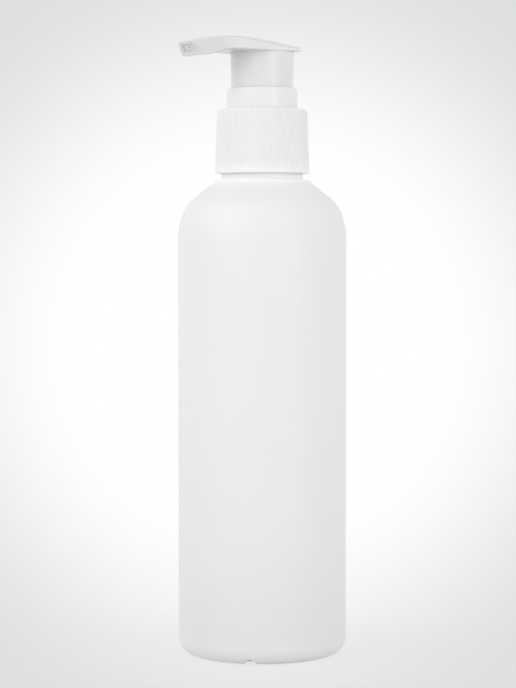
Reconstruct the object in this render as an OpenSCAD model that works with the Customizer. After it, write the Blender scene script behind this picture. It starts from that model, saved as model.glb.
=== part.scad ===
// Pump bottle: a round blow-moulded bottle with a screwed, ribbed closure and a spring-return pump
// Millimetres. Z is the bottle's axis, z = 0 the surface it stands on, and the spout points along -X.

/* [Bottle] */
// Outer diameter of the body
body_d = 50; // [44:1:70]
// Height of the bottle from its base to the sealing rim of the neck
bottle_h = 158; // [140:1:200]
// Thickness of the blown wall
wall = 1.0; // [0.8:0.1:1.4]
// Thickness of the floor
floor_t = 2.0; // [1.8:0.1:2.6]
// Radius of the rounded heel
heel_r = 4.6; // [3.6:0.2:6]
// Rise of the push-up in the middle of the base
push_up = 2.4; // [1.5:0.1:3.5]
// Width of the ring that the bottle stands on
stand_w = 1.5; // [1:0.1:2.5]
// Rise of the domed shoulder, from the straight wall to the foot of the neck
shoulder_h = 17.2; // [14:0.2:24]
// Height of the shoulder's rounded part if it went on to level
shoulder_round_h = 13.5; // [10:0.5:14]
// Reach of the shoulder's rounded part if it went on to level
shoulder_round_w = 7.8; // [6:0.2:8]
// Width of the registration notch in the heel
notch_w = 3.2; // [2:0.2:4]
// Depth of the registration notch in the heel
notch_d = 1.1; // [0.6:0.1:1.2]
// Turn of the registration notch about the axis, from the spout's side
notch_turn = 48; // [0:1:90]

/* [Neck finish] */
// Bore of the neck
bore_d = 18.6; // [17:0.1:22]
// Wall of the neck at the root of its thread
neck_wall = 1.45; // [1.2:0.05:1.8]
// Height of the neck above the shoulder
finish_h = 17.6; // [17.2:0.1:19]
// Depth of the bottle's thread
thread_depth = 1.05; // [0.8:0.05:1.2]
// Pitch of the thread
thread_pitch = 3.175; // [2.9:0.025:3.4]
// Width of a thread ridge at its root
thread_root_w = 1.7; // [1.4:0.05:1.8]
// Width of a thread ridge at its crest
thread_crest_w = 0.8; // [0.5:0.05:0.9]
// Distance from the neck's rim down to the top end of its thread
thread_lead = 2.2; // [1.8:0.1:2.6]
// Step of the neck's foot bead beyond the thread
bead_step = 0.3; // [0.1:0.05:0.5]
// Height of the neck's foot bead
bead_h = 3.6; // [3:0.1:4]
// Width of the small ledge round the foot of the neck
ledge_w = 2.2; // [1:0.1:3]
// Height of the small ledge round the foot of the neck
ledge_h = 0.6; // [0.3:0.1:1]

/* [Closure] */
// Thickness of the collar's skirt outside its thread
collar_wall = 1.88; // [1.7:0.02:2.4]
// Height of the collar
collar_h = 19; // [18.4:0.1:19.2]
// Thickness of the collar's top
collar_top_t = 1.6; // [1.2:0.1:1.8]
// Draft of the collar's side, in degrees
collar_draft = 2.1; // [1:0.1:2.4]
// Rounding of the collar's top edge
collar_round = 1.1; // [0.6:0.1:1.3]
// Number of grip ribs round the collar
rib_count = 100; // [60:2:110]
// Height that the grip ribs stand out
rib_h = 0.3; // [0.2:0.05:0.35]
// Width of the plain band under the grip ribs
band_h = 1.2; // [0.8:0.1:2]
// Lap of the pump's flange under the collar's top
flange_lap = 0.75; // [0.6:0.05:0.9]
// Thickness of the sealing gasket
gasket_t = 0.8; // [0.6:0.1:1]

/* [Pump] */
// Thickness of the pump's flange
flange_t = 1.4; // [1.2:0.1:1.6]
// Thickness of the well's floor, inside the guide ring
well_floor_t = 1.0; // [0.8:0.1:1.1]
// Height of the guide ring above the collar
ring_rise = 6.2; // [5.8:0.1:7]
// Height of the bead that snaps the guide ring into the collar
snap_h = 0.12; // [0.08:0.02:0.16]
// Wall of the guide ring
ring_wall = 0.8; // [0.7:0.05:0.9]
// Wall of the pump's barrel
barrel_wall = 0.95; // [0.8:0.05:1.1]
// Free space between the barrel and the neck
barrel_gap = 1.6; // [1.2:0.1:1.8]
// Length of the barrel below the flange
barrel_l = 32.8; // [32:0.2:40]
// Diameter of the inlet ball
ball_d = 5; // [4.6:0.1:5.2]
// Free space round the inlet ball
ball_gap = 0.8; // [0.6:0.1:1]
// Rise of the inlet ball before it meets its retainer
ball_lift = 1.8; // [1.4:0.1:2.2]
// Thickness of the ball retainer
retainer_t = 1.0; // [0.8:0.1:1.3]
// Outer diameter of the dip tube
tube_d = 6; // [5.4:0.1:6.4]
// Wall of the dip tube
tube_wall = 0.9; // [0.7:0.05:1.1]
// Depth of the socket that holds the dip tube
tube_socket = 10; // [8:0.5:14]
// Gap between the end of the dip tube and the bottle's floor
tube_end_gap = 1.5; // [1:0.1:4]
// Slope of the dip tube's cut end, in degrees
tube_cut = 35; // [20:1:45]
// Diameter of the air vent in the barrel
vent_d = 0.9; // [0.6:0.1:1.2]
// Thickness of the stem guide's flange
guide_flange_t = 0.8; // [0.6:0.1:1]
// Wall of the stem guide
guide_wall = 1.0; // [0.8:0.1:1.2]
// Depth of the stem guide's plug in the barrel
guide_plug_l = 7.6; // [6.6:0.1:7.8]
// Length that the stem guide's plug reaches below its inner tube
guide_lip = 0.7; // [0.4:0.1:1]

/* [Plunger] */
// Outer diameter of the stem
stem_d = 6.4; // [6.2:0.1:6.6]
// Bore of the stem
stem_bore = 4.2; // [3.8:0.1:4.4]
// Height of the piston
piston_h = 6; // [5:0.1:6.4]
// Wall of the piston
piston_wall = 0.7; // [0.6:0.05:0.9]
// Slip of the piston on the rod, which opens the outlet valve
piston_slip = 1.3; // [1:0.1:1.4]
// Diameter of the rod's valve head
valve_d = 8.8; // [8.2:0.1:9.2]
// Height of the stem's shoulder, which stops its rise
stem_shoulder_t = 1.3; // [1:0.1:1.6]
// Free space between the rod and the piston's hub
hub_gap = 0.8; // [0.6:0.1:1]
// Width of the rod's fins in the stem
fin_w = 1.0; // [0.8:0.1:1.2]
// Length of the rod's fins in the stem
fin_l = 5; // [4:0.5:7]
// Thickness of the rod's valve head
valve_t = 1.5; // [1.2:0.1:1.8]
// Diameter of the rod where it passes through the piston
rod_d = 3.6; // [3.2:0.1:3.8]
// Length of the rod's tail inside the spring
tail_l = 5.5; // [4:0.5:6.5]
// Thickness of the spring's wire
wire_d = 0.8; // [0.7:0.05:0.9]
// Mean diameter of the spring
spring_d = 9.8; // [9.2:0.1:10.4]
// Number of turns in the spring
spring_turns = 6.5; // [5:0.5:7]

/* [Actuator] */
// Height of the actuator's skirt that shows above the guide ring
skirt_show = 10.5; // [9.5:0.1:12]
// Depth that the skirt starts inside the guide ring
skirt_dip = 0.8; // [0.5:0.1:1]
// Wall of the socket that holds the stem
socket_wall = 1.1; // [0.9:0.1:1.3]
// Set-back of the socket's mouth above the skirt's lower edge
socket_up = 0.9; // [0.6:0.1:1.2]
// Distance from the head's underside down to the stem's seat
stem_seat = 2.6; // [2:0.1:3.5]
// Radius of the relief round the socket inside the head
relief_r = 6.2; // [5.6:0.1:6.4]
// Wall of the skirt
skirt_wall = 0.95; // [0.8:0.05:1.1]
// Draft of the skirt, in degrees
skirt_draft = 1.1; // [0.5:0.1:1.3]
// Reach of the spout from the axis to its tip
spout_reach = 26.7; // [25:0.1:30]
// Set-back of the underside at the spout's slanted tip
tip_slant = 2.3; // [1:0.1:3]
// Width of the spout at its tip
tip_w = 8.9; // [8.4:0.1:10]
// Tilt of the thumb rest's sides, in degrees
rest_side_tilt = 28.6; // [24:0.2:32]
// Slope of the thumb rest to the rear, in degrees
rest_rear_tilt = 18.5; // [16:0.5:20]
// Rise of the underside at the rear edge
rear_lift = 0.3; // [0:0.1:0.5]
// Reach of the thumb rest behind the axis
rear_reach = 12.4; // [11.5:0.1:14]
// Width of the head over the skirt
head_w = 19.6; // [19.2:0.1:21]
// Thickness of the head at its crown
head_t = 4.5; // [4.2:0.1:5]
// Distance from the axis to the crown's highest point
crown_out = 10.7; // [9:0.1:12]
// Radius of the crown towards the spout
crown_front_r = 60; // [56:1:90]
// Radius of the crown towards the thumb rest
crown_rear_r = 104; // [96:1:130]
// Radius of the crown from side to side
crown_cross_r = 50; // [40:1:54]
// Droop of the spout's lip below the underside
lip_drop = 1.9; // [1.5:0.1:2.2]
// Width of the outlet
outlet_w = 6.0; // [5:0.1:6.4]
// Height of the outlet
outlet_h = 2.0; // [1.6:0.1:2.2]

/* [Clearances] */
// Running clearance of round parts that turn or slide in each other
run_gap = 0.1; // [0.05:0.01:0.1]
// Fitting clearance of parts that are pressed together
fit_gap = 0.02; // [0.01:0.01:0.03]
// Free space between the two threads
thread_gap = 0.35; // [0.3:0.01:0.4]
// Free space between the skirt and the guide ring
skirt_gap = 0.24; // [0.15:0.01:0.3]
// Free space between the pump's flange and the inside of the collar
flange_gap = 0.85; // [0.6:0.05:1]
// Clearance of the sliding piston's lips
seal_gap = 0.05; // [0.03:0.01:0.08]
// Free space between the pressed skirt and the floor of its well
stop_gap = 0.5; // [0.3:0.1:0.8]

/* [Hidden] */
$fn = 96;
cut = 2;
arc_steps = 12;
corner_steps = 5;

// Colours
white_body = [0.93, 0.93, 0.935];
white_cap = [0.9, 0.9, 0.91];
clear_white = [0.88, 0.9, 0.92];
foam_white = [0.84, 0.86, 0.88];
steel = [0.62, 0.63, 0.65];

// Neck and closure, each radius from the one inside it
body_r = body_d / 2;
bore_r = bore_d / 2;
neck_r = bore_r + neck_wall;
crest_r = neck_r + thread_depth;
bead_r = crest_r + bead_step;
ledge_r = bead_r + ledge_w;
foot_z = bottle_h - finish_h;
collar_in_r = crest_r + thread_gap;
collar_foot_r = bead_r + thread_gap;
collar_out_r = collar_in_r + collar_wall;
flange_r = collar_in_r - flange_gap;
collar_hole_r = flange_r - flange_lap;
ring_out_r = collar_hole_r - run_gap;
ring_in_r = ring_out_r - ring_wall;

// Levels of the closure, from the neck's rim up
flange_z = bottle_h + gasket_t;
flange_top_z = flange_z + flange_t;
well_z = flange_z + well_floor_t;
collar_under_z = flange_top_z + run_gap;
collar_top_z = collar_under_z + collar_top_t;
collar_z = collar_top_z - collar_h;
ring_top_z = collar_top_z + ring_rise;
snap_z = (collar_under_z + collar_top_z) / 2;
snap_r = collar_hole_r + snap_h;
snap_half = 2.5 * snap_h;
rib_band_z = collar_z + band_h;
rib_low_z = rib_band_z - run_gap;
rib_high_z = collar_top_z - collar_round;
edge = 0.3;

// The thread runs up to thread_lead below the rim
thread_turns_share = 1.5;
collar_turns_share = 1.25;
collar_thread_start_share = -0.42;
thread_steps = 36;
thread_top_z = bottle_h - thread_lead;
thread_z = thread_top_z - thread_turns_share * thread_pitch;
thread_sink = 0.15;

// Actuator
skirt_top_r = ring_in_r - skirt_gap;
skirt_z = ring_top_z - skirt_dip;
head_z = ring_top_z + skirt_show;
skirt_low_r = skirt_top_r - (head_z - skirt_z) * tan(skirt_draft);
skirt_in_r = skirt_low_r - skirt_wall;
crown_z = head_z + head_t;
stroke = skirt_z - well_z - stop_gap;
tip_z = head_z - lip_drop;
tip_top_z = crown_z - crown_front_r + sqrt(pow(crown_front_r, 2) - pow(spout_reach - crown_out, 2));
outlet_z = tip_z + 0.55 * (tip_top_z - tip_z);
duct_h = 0.7 * outlet_h;
duct_z = head_z + 0.54 * head_t;
stem_r = stem_d / 2;
socket_r = stem_r + fit_gap + socket_wall;
socket_z = skirt_z + socket_up;
stem_top_z = head_z - stem_seat;
relief_h = 0.3 * head_t;
rear_round_r = 0.62 * head_w / 2;
rest_out_share = 0.2;
rest_side_share = 0.475;
rest_up_share = 0.68;

// Pump body
barrel_r = bore_r - barrel_gap;
barrel_in_r = barrel_r - barrel_wall;
barrel_z = flange_z - barrel_l;
ball_r = ball_d / 2;
ball_room_r = ball_r + ball_gap;
inlet_r = 0.72 * ball_r;
seat_slope = 53;
seat_h = (ball_room_r - inlet_r) * tan(seat_slope);
ball_rest = (ball_r + seal_gap) / cos(seat_slope) - inlet_r * tan(seat_slope);
seat_room = ball_rest + ball_r + ball_lift + run_gap;
seat_z = barrel_z - seat_room;
tube_r = tube_d / 2;
socket_end_z = seat_z - tube_wall - tube_socket;
tube_top_z = socket_end_z + tube_socket;
tube_low_z = push_up + floor_t + tube_end_gap;
tube_house_r = tube_r + fit_gap + barrel_wall;
ball_house_r = ball_room_r + barrel_wall + 0.5 * barrel_wall;
spring_z = barrel_z + retainer_t;

// Stem guide, hung in the barrel's mouth
guide_r = stem_r + run_gap;
guide_low_z = well_z - guide_plug_l;
guide_flange_r = barrel_r - 0.1 * barrel_wall;

// Plunger, hung from the stem guide
shoulder_stop_z = guide_low_z + guide_lip - run_gap;
stem_shoulder_r = stem_r + guide_wall;
stem_low_z = shoulder_stop_z - stem_shoulder_t;
piston_top_z = stem_low_z - piston_slip;
piston_z = piston_top_z - piston_h;
piston_r = barrel_in_r - seal_gap;
valve_r = valve_d / 2;
valve_top_z = piston_z - seal_gap;
valve_z = valve_top_z - valve_t;
rod_r = rod_d / 2;
piston_hub_in_r = rod_r + hub_gap;
wire_r = wire_d / 2;
spring_r = spring_d / 2;
spring_low_z = spring_z + wire_r + seal_gap;
spring_high_z = valve_z - wire_r - seal_gap;
curl_rings = 8;
wire_sides = 6;

// Points along an elliptical arc about [cx, cz], from angle a0 to a1
function arc(cx, cz, rx, rz, a0, a1, n = arc_steps) =
    [for (i = [0:n]) let (a = a0 + (a1 - a0) * i / n) [cx + rx * cos(a), cz + rz * sin(a)]];

// Points along the push-up of the base, a shallow dome between the axis and radius r
function push_up_arc(r, z) =
    [for (i = [0:arc_steps]) let (s = i / arc_steps) [r * s, z + push_up * (1 - s * s)]];

function backwards(points) = [for (i = [len(points) - 1:-1:0]) points[i]];

// Shoulder outline, set in from the outside by t
function shoulder(t) =
    arc(body_r - shoulder_round_w, foot_z - shoulder_h, shoulder_round_w - t, shoulder_round_h - t, 0, 65);

function bottle_outline() = concat(
    push_up_arc(body_r - heel_r - stand_w, 0),
    arc(body_r - heel_r, heel_r, heel_r, heel_r, -90, 0),
    shoulder(0),
    [[ledge_r, foot_z], [ledge_r, foot_z + ledge_h], [bead_r, foot_z + ledge_h],
     [bead_r, foot_z + ledge_h + bead_h - bead_step], [bead_r - bead_step, foot_z + ledge_h + bead_h],
     [neck_r, foot_z + ledge_h + bead_h], [neck_r, bottle_h], [bore_r, bottle_h], [bore_r, foot_z]],
    backwards(shoulder(wall)),
    backwards(arc(body_r - heel_r, floor_t + heel_r - wall, heel_r - wall, heel_r - wall, -90, 0)),
    backwards(push_up_arc(body_r - heel_r - stand_w, floor_t)));

// A helical ridge: in_r is buried in the wall that carries it, out_r is the crest, and both ends fade in
module thread_ridge(in_r, out_r, z, start, turns) {
    n = round(turns * thread_steps);
    fade = 3;
    side = out_r > in_r ? 1 : -1;
    points = [for (i = [0:n])
        let (a = start + 360 * i / thread_steps, rise = z + thread_pitch * i / thread_steps,
             grown = min(1, i / fade, (n - i) / fade),
             r = in_r + side * thread_sink / 2 + (out_r - in_r - side * thread_sink / 2) * grown)
        for (p = [[in_r, -thread_root_w / 2], [r, -thread_crest_w / 2],
                  [r, thread_crest_w / 2], [in_r, thread_root_w / 2]])
        [p[0] * cos(a), p[0] * sin(a), rise + p[1]]];
    sides = [for (i = [0:n - 1], k = [0:3])
        let (a = 4 * i + k, b = 4 * i + (k + 1) % 4, c = b + 4, d = a + 4)
        each [[a, b, c], [a, c, d]]];
    ends = [[0, 3, 2], [0, 2, 1], [4 * n, 4 * n + 1, 4 * n + 2], [4 * n, 4 * n + 2, 4 * n + 3]];
    faces = concat(sides, ends);
    polyhedron(points, side > 0 ? faces : [for (f = faces) [f[0], f[2], f[1]]], convexity = 4);
}

module bottle() {
    color(white_body) difference() {
        union() {
            rotate_extrude() polygon(bottle_outline());
            thread_ridge(neck_r - thread_sink, crest_r, thread_z, 0, thread_turns_share);
        }
        // Registration notch across the heel's standing edge
        rotate([0, 0, 180 + notch_turn])
            translate([body_r - heel_r - cut / 2, 0, notch_d - notch_w / 2])
            rotate([0, 90, 0])
            cylinder(d = notch_w, h = heel_r + cut);
    }
}

module neck_gasket() {
    color(foam_white) translate([0, 0, bottle_h]) difference() {
        cylinder(r = flange_r, h = gasket_t);
        translate([0, 0, -cut]) cylinder(r = barrel_r + run_gap, h = gasket_t + 2 * cut);
    }
}

// Radius of the collar's side at height z, less t
function collar_r(z, t) = collar_out_r - (z - collar_z) * tan(collar_draft) - t;

// Outline of the collar's top corner, whose side is set in by t and whose top is set down by s
function collar_corner(t, s) = concat([[0, collar_top_z - s]],
    backwards(arc(collar_r(rib_high_z, 0) - collar_round, rib_high_z,
        collar_round - t, collar_round - s, 0, 90, corner_steps)));

module collar_rib() {
    rib_pitch = 2 * PI * collar_out_r / rib_count;
    translate([collar_r(rib_low_z, rib_h), 0, rib_low_z])
        rotate([0, -collar_draft, 0])
        linear_extrude(collar_top_z - rib_low_z)
        polygon([[-rib_h, -rib_pitch * 0.36], [0, -rib_pitch * 0.36], [rib_h, -rib_pitch * 0.16],
                 [rib_h, rib_pitch * 0.16], [0, rib_pitch * 0.36], [-rib_h, rib_pitch * 0.36]]);
}

module collar_side() {
    rotate_extrude() polygon(concat(collar_corner(rib_h, 0),
        [[collar_r(rib_band_z, rib_h), rib_band_z], [collar_r(rib_band_z, -fit_gap), rib_band_z],
         [collar_r(collar_z + edge, -fit_gap), collar_z + edge], [collar_r(collar_z, edge), collar_z],
         [0, collar_z]]));
    intersection() {
        for (i = [0:rib_count - 1]) rotate([0, 0, 360 * i / rib_count]) collar_rib();
        rotate_extrude() polygon(concat(collar_corner(-fit_gap, 2 * fit_gap),
            [[collar_r(rib_low_z - cut, -cut), rib_high_z - cut],
             [collar_r(rib_low_z - cut, -cut), collar_z], [0, collar_z]]));
    }
}

module collar() {
    color(white_cap) {
        difference() {
            collar_side();
            rotate_extrude() polygon([[0, collar_z - cut], [collar_foot_r, collar_z - cut],
                [collar_foot_r, foot_z + ledge_h + bead_h],
                [collar_in_r, foot_z + ledge_h + bead_h + bead_step],
                [collar_in_r, collar_under_z], [collar_hole_r, collar_under_z],
                [collar_hole_r, snap_z - snap_half - run_gap], [snap_r + run_gap, snap_z - run_gap],
                [snap_r + run_gap, snap_z + run_gap], [collar_hole_r, snap_z + snap_half + run_gap],
                [collar_hole_r, collar_top_z + cut], [0, collar_top_z + cut]]);
        }
        thread_ridge(collar_in_r + thread_sink, neck_r + thread_gap,
            thread_z - thread_pitch / 2 + collar_thread_start_share * thread_pitch,
            360 * collar_thread_start_share, collar_turns_share);
    }
}

module pump_housing() {
    ring_round = ring_wall - run_gap;
    color(white_cap) difference() {
        rotate_extrude() polygon(concat(
            [[0, socket_end_z], [tube_house_r, socket_end_z], [tube_house_r, seat_z - barrel_wall],
             [ball_house_r, seat_z], [ball_house_r, barrel_z - ball_r],
             [barrel_r, barrel_z - barrel_wall], [barrel_r, flange_z], [flange_r, flange_z],
             [flange_r, flange_top_z], [ring_out_r, flange_top_z], [ring_out_r, snap_z - snap_half],
             [snap_r, snap_z], [ring_out_r, snap_z + snap_half]],
            arc(ring_out_r - ring_round, ring_top_z - 2 * ring_round, ring_round, 2 * ring_round, 0, 90),
            [[ring_in_r, ring_top_z - run_gap], [ring_in_r, well_z], [barrel_in_r, well_z],
             [barrel_in_r, barrel_z], [ball_room_r, barrel_z], [ball_room_r, seat_z + seat_h],
             [inlet_r, seat_z], [0, seat_z]]));
        translate([0, 0, seat_z - tube_wall - cut]) cylinder(r = inlet_r, h = seat_h + cut + tube_wall);
        translate([0, 0, socket_end_z - cut]) cylinder(r = tube_r + fit_gap, h = tube_socket + cut);
        // Air vent, just under the stem guide
        translate([0, 0, guide_low_z - vent_d]) rotate([90, 0, 0]) cylinder(d = vent_d, h = barrel_r + cut);
    }
}

module stem_guide() {
    plug_r = barrel_in_r - fit_gap;
    color(clear_white) rotate_extrude() polygon([
        [guide_r, guide_low_z + guide_lip], [guide_r, well_z + guide_flange_t],
        [guide_flange_r, well_z + guide_flange_t], [guide_flange_r, well_z], [plug_r, well_z],
        [plug_r, guide_low_z], [plug_r - guide_wall, guide_low_z],
        [plug_r - guide_wall, well_z - guide_wall],
        [guide_r + guide_wall, well_z - guide_wall], [guide_r + guide_wall, guide_low_z + guide_lip]]);
}

module dip_tube() {
    color(clear_white) difference() {
        translate([0, 0, tube_low_z]) cylinder(r = tube_r, h = tube_top_z - tube_low_z);
        translate([0, 0, tube_low_z - cut])
            cylinder(r = tube_r - tube_wall, h = tube_top_z - tube_low_z + 2 * cut);
        // Slanted end, so that the tube can't seal itself on the floor
        translate([-tube_r, 0, tube_low_z]) rotate([0, -tube_cut, 0])
            translate([-tube_d, -tube_d, -3 * tube_d])
            cube([4 * tube_d, 2 * tube_d, 3 * tube_d]);
    }
}

module ball_retainer() {
    outer_r = barrel_in_r - 2 * run_gap;
    color(clear_white) translate([0, 0, barrel_z]) {
        difference() {
            cylinder(r = outer_r, h = retainer_t);
            translate([0, 0, -cut]) cylinder(r = ball_room_r, h = retainer_t + 2 * cut);
        }
        for (turn = [0, 90]) rotate([0, 0, turn])
            translate([-ball_room_r - run_gap, -retainer_t / 2, 0])
            cube([2 * (ball_room_r + run_gap), retainer_t, retainer_t]);
    }
}

module inlet_ball() {
    color(steel) translate([0, 0, seat_z + ball_rest]) sphere(r = ball_r);
}

// Height of the spring's centre line after a share s of its turns, with the end turns drawn closer together
function spring_rise(s) = s - 0.35 * sin(360 * s) / (2 * PI);

module return_spring() {
    n = round(spring_turns * curl_rings);
    centre = [for (i = [0:n]) let (a = 360 * i / curl_rings)
        [spring_r * cos(a), spring_r * sin(a),
         spring_low_z + (spring_high_z - spring_low_z) * spring_rise(i / n)]];
    gaps = [for (i = [0:n - curl_rings]) norm(centre[i + curl_rings] - centre[i]) - wire_d];
    echo(least_spring_gap = min(gaps));
    points = [for (i = [0:n], k = [0:wire_sides - 1])
        let (a = 360 * i / curl_rings, b = 360 * k / wire_sides, r = spring_r + wire_r * cos(b))
        [r * cos(a), r * sin(a), centre[i][2] + wire_r * sin(b)]];
    sides = [for (i = [0:n - 1], k = [0:wire_sides - 1])
        let (a = wire_sides * i + k, b = wire_sides * i + (k + 1) % wire_sides)
        each [[a, b + wire_sides, b], [a, a + wire_sides, b + wire_sides]]];
    ends = [for (k = [1:wire_sides - 2]) each [[0, k, k + 1],
        [wire_sides * n, wire_sides * n + k + 1, wire_sides * n + k]]];
    color(steel) polyhedron(points, concat(sides, ends), convexity = 8);
}

module plunger_stem() {
    color(clear_white) difference() {
        union() {
            translate([0, 0, stem_low_z]) cylinder(r = stem_r, h = stem_top_z - stem_low_z);
            translate([0, 0, stem_low_z]) cylinder(r = stem_shoulder_r, h = stem_shoulder_t);
        }
        translate([0, 0, stem_low_z - cut]) cylinder(d = stem_bore, h = stem_top_z - stem_low_z + 2 * cut);
    }
}

module piston_rod() {
    color(white_cap) {
        // Neck through the piston, with the valve head below it and a tail that keeps the spring straight
        translate([0, 0, valve_top_z - seal_gap]) cylinder(r = rod_r, h = stem_low_z - valve_top_z + fin_l);
        translate([0, 0, valve_z]) cylinder(r = valve_r, h = valve_t);
        translate([0, 0, valve_z - tail_l]) cylinder(r = rod_r, h = tail_l + seal_gap);
        // Fins that hold the rod in the stem's bore and leave room for the flow
        for (turn = [0, 90]) rotate([0, 0, turn])
            translate([-stem_bore / 2 + fit_gap, -fin_w / 2, stem_low_z])
            cube([stem_bore - 2 * fit_gap, fin_w, fin_l]);
    }
}

module piston() {
    waist_r = piston_r - 0.5 * piston_wall;
    color(clear_white) rotate_extrude() polygon([
        [piston_hub_in_r, piston_z], [piston_hub_in_r + piston_wall, piston_z],
        [piston_hub_in_r + piston_wall, piston_z + 0.4 * piston_h],
        [waist_r - piston_wall, piston_z + 0.4 * piston_h], [piston_r - 0.5 * piston_wall, piston_z],
        [piston_r, piston_z], [piston_r, piston_z + 0.08 * piston_h], [waist_r, piston_z + 0.25 * piston_h],
        [waist_r, piston_z + 0.75 * piston_h], [piston_r, piston_z + 0.92 * piston_h],
        [piston_r, piston_top_z],
        [piston_r - 0.5 * piston_wall, piston_top_z], [waist_r - piston_wall, piston_z + 0.6 * piston_h],
        [piston_hub_in_r + piston_wall, piston_z + 0.6 * piston_h],
        [piston_hub_in_r + piston_wall, piston_top_z], [piston_hub_in_r, piston_top_z]]);
}

// Radius of the head's bowed sides, which narrow from head_w over the axis to tip_w at the tip
function side_bow() = let (d = (head_w - tip_w) / 2) (pow(spout_reach, 2) + d * d) / (2 * d);

// Level of the head's underside at a distance x in front of the axis
function underside(x) =
    let (s = pow((x - crown_out) / (spout_reach - tip_slant - crown_out), 1.25))
    head_z - lip_drop * s * s * (3 - 2 * s);

// Side view from the underside up, with the slanted tip
module head_side_view() {
    slant = tip_slant / (tip_top_z - tip_z);
    above_z = crown_z + cut;
    below = [for (i = [0:arc_steps])
        let (x = crown_out + (spout_reach - tip_slant - crown_out) * i / arc_steps) [-x, underside(x)]];
    polygon(concat([[rear_reach + cut, head_z + rear_lift], [0, head_z]], below,
        [[-spout_reach - slant * (above_z - tip_top_z), above_z], [rear_reach + cut, above_z]]));
}

// Bowed sides and a rounded rear
module head_plan() {
    bow = side_bow();
    intersection() {
        translate([0, head_w / 2 - bow]) circle(r = bow, $fn = 400);
        translate([0, bow - head_w / 2]) circle(r = bow, $fn = 400);
        union() {
            translate([-spout_reach - 2 * cut, -head_w])
                square([spout_reach + 2 * cut + rear_reach - rear_round_r, 2 * head_w]);
            for (side = [-1, 1])
                translate([rear_reach - rear_round_r, side * (head_w / 2 - rear_round_r)])
                circle(r = rear_round_r);
            translate([0, rear_round_r - head_w / 2]) square([rear_reach, head_w - 2 * rear_round_r]);
        }
    }
}

// One side of the crown, rounded along the head by r and across it by crown_cross_r
module crown_half(r, side) {
    intersection() {
        translate([-crown_out, 0, crown_z - r]) rotate([90, 0, 0])
        rotate_extrude($fn = 400) intersection() {
            translate([r - crown_cross_r, 0]) circle(r = crown_cross_r, $fn = 400);
            translate([0, -head_w]) square([r + cut, 2 * head_w]);
        }
        translate([side > 0 ? -crown_out : -crown_out - 2 * spout_reach, -head_w, tip_z - cut])
            cube([2 * spout_reach, 2 * head_w, crown_z - tip_z + 2 * cut]);
    }
}

// The thumb rest falls away at both sides behind the crown
module thumb_rest_cut(side) {
    translate([-rest_out_share * spout_reach, side * rest_side_share * head_w,
               head_z + rest_up_share * head_t])
        rotate([-side * rest_side_tilt, rest_rear_tilt, 0])
        translate([-head_w, -head_w, 0]) cube([3 * head_w, 2 * head_w, head_t * 2]);
}

module head_block() {
    difference() {
        intersection() {
            rotate([90, 0, 0]) linear_extrude(2 * head_w, center = true) head_side_view();
            translate([0, 0, tip_z - cut]) linear_extrude(crown_z - tip_z + 2 * cut) head_plan();
            union() {
                crown_half(crown_front_r, -1);
                crown_half(crown_rear_r, 1);
            }
        }
        for (side = [-1, 1]) thumb_rest_cut(side);
    }
}

// Flow passage from the stem to the outlet, widening towards the tip
module duct() {
    out = spout_reach + cut;
    in_w = stem_bore / 2;
    intersection() {
        rotate([90, 0, 0]) linear_extrude(2 * outlet_w, center = true) polygon([
            [stem_bore, duct_z - duct_h / 2], [-in_w, duct_z - duct_h / 2],
            [-spout_reach, outlet_z - outlet_h / 2], [-out, outlet_z - outlet_h / 2],
            [-out, outlet_z + outlet_h / 2], [-spout_reach, outlet_z + outlet_h / 2],
            [-in_w, duct_z + duct_h / 2], [stem_bore, duct_z + duct_h / 2]]);
        translate([0, 0, tip_z]) linear_extrude(2 * head_t) {
            circle(r = in_w);
            polygon([[0, in_w], [-spout_reach, outlet_w / 2], [-out, outlet_w / 2],
                     [-out, -outlet_w / 2], [-spout_reach, -outlet_w / 2], [0, -in_w]]);
        }
    }
}

module actuator() {
    color(white_cap) difference() {
        union() {
            head_block();
            rotate_extrude() polygon([[skirt_in_r, skirt_z], [skirt_low_r, skirt_z], [skirt_top_r, head_z],
                [skirt_top_r, head_z + fit_gap], [skirt_in_r, head_z + fit_gap]]);
            translate([0, 0, socket_z]) cylinder(r = socket_r, h = head_z - socket_z + fit_gap);
        }
        translate([0, 0, socket_z - cut]) cylinder(r = stem_r + fit_gap, h = stem_top_z - socket_z + cut);
        translate([0, 0, stem_top_z - cut]) cylinder(d = stem_bore, h = duct_z - stem_top_z + cut);
        duct();
        // Relief round the socket, open downwards
        difference() {
            translate([0, 0, head_z - cut]) cylinder(r = relief_r, h = relief_h + cut);
            translate([0, 0, head_z - 2 * cut]) cylinder(r = socket_r, h = relief_h + 3 * cut);
            translate([-relief_r - cut, -outlet_w / 2 - fit_gap, head_z - 2 * cut])
                cube([relief_r + cut, outlet_w + 2 * fit_gap, relief_h + 3 * cut]);
        }
    }
}

bottle();
neck_gasket();
collar();
pump_housing();
stem_guide();
dip_tube();
ball_retainer();
inlet_ball();
return_spring();
plunger_stem();
piston_rod();
piston();
actuator();
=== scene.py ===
import bpy
import math
from mathutils import Matrix, Vector


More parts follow.
